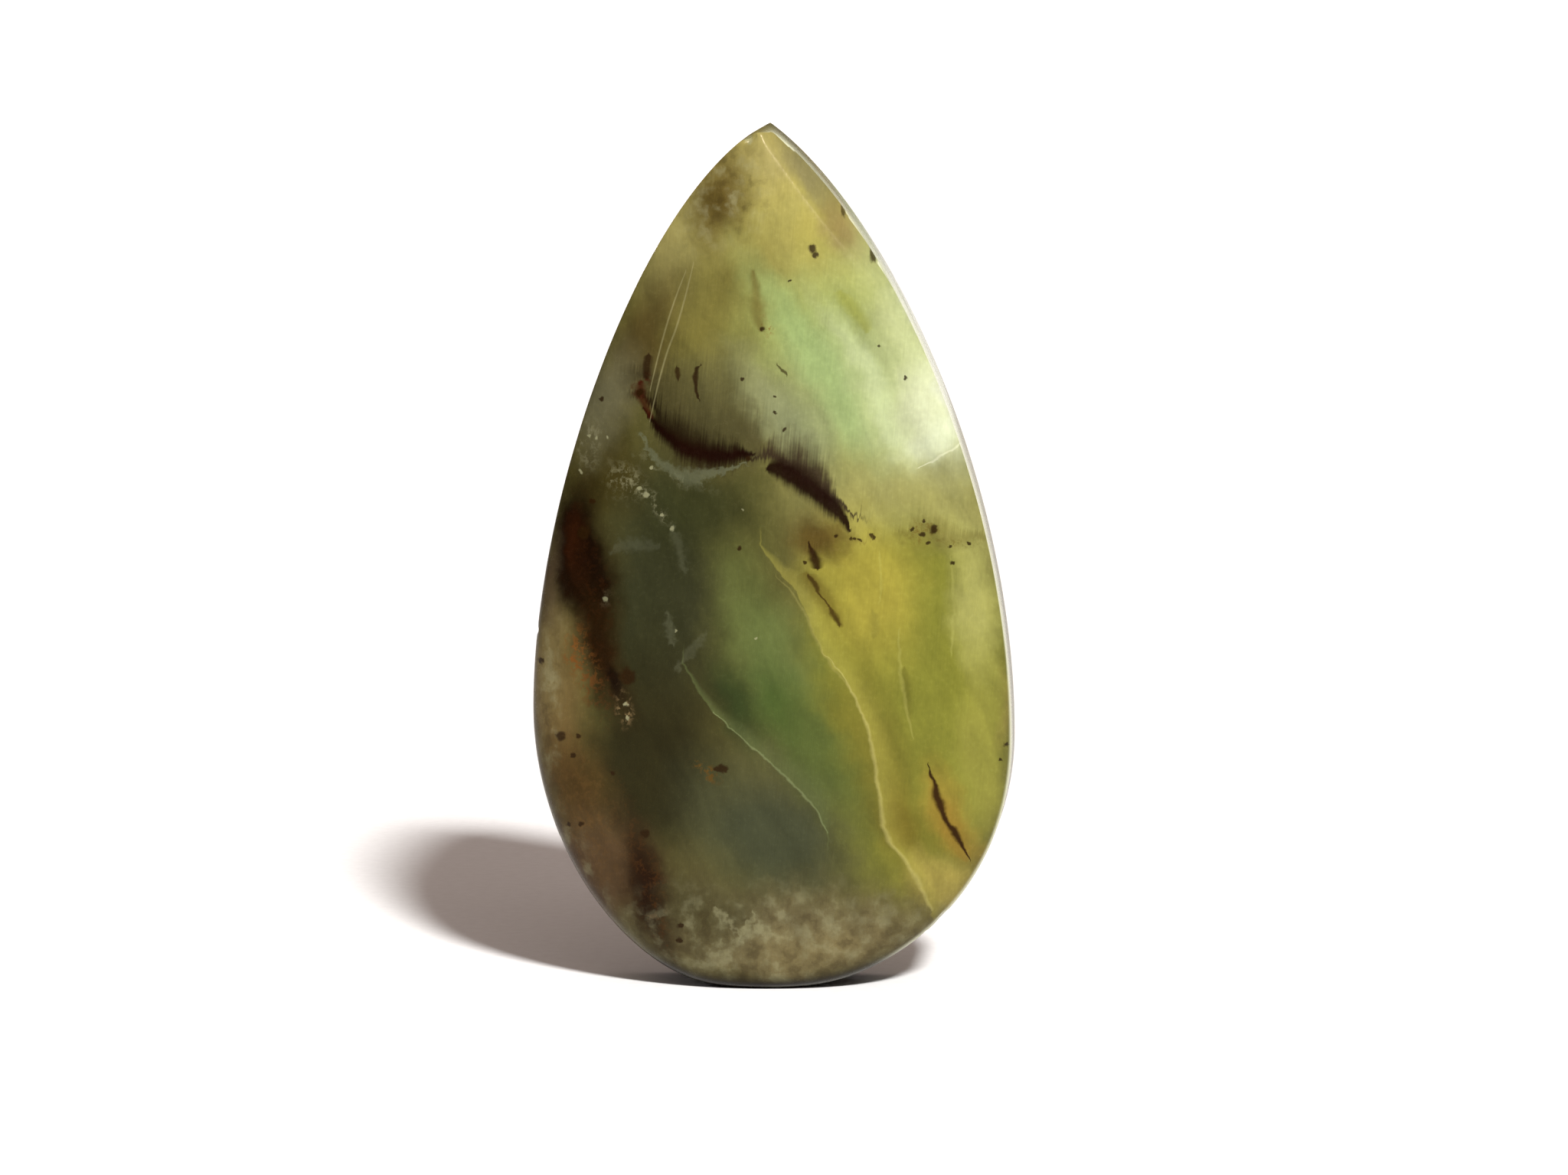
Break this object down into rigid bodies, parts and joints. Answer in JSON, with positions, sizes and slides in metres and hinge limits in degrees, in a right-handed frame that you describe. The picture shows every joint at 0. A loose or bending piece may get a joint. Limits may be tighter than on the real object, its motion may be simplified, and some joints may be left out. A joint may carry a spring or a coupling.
{
  "type": "polished teardrop peruvian opal cabochon",
  "caption": "Polished teardrop cabochon of green and yellow Peruvian opal with dark inclusions, flat at the back, standing on the small flat at its round end.",
  "frame": {"origin": "on the small foot flat at the round end, at the middle of the stone's width and of its thickness", "axes": "+Z from the foot flat up towards the tip, +Y out of the flat back, +X to the right as the dome is seen"},
  "size_m": [0.025, 0.008, 0.045],
  "materials": {
    "opal": "polished"
  },
  "bodies": {
    "root": {"opal_cabochon": "opal"}
  },
  "joints": []
}
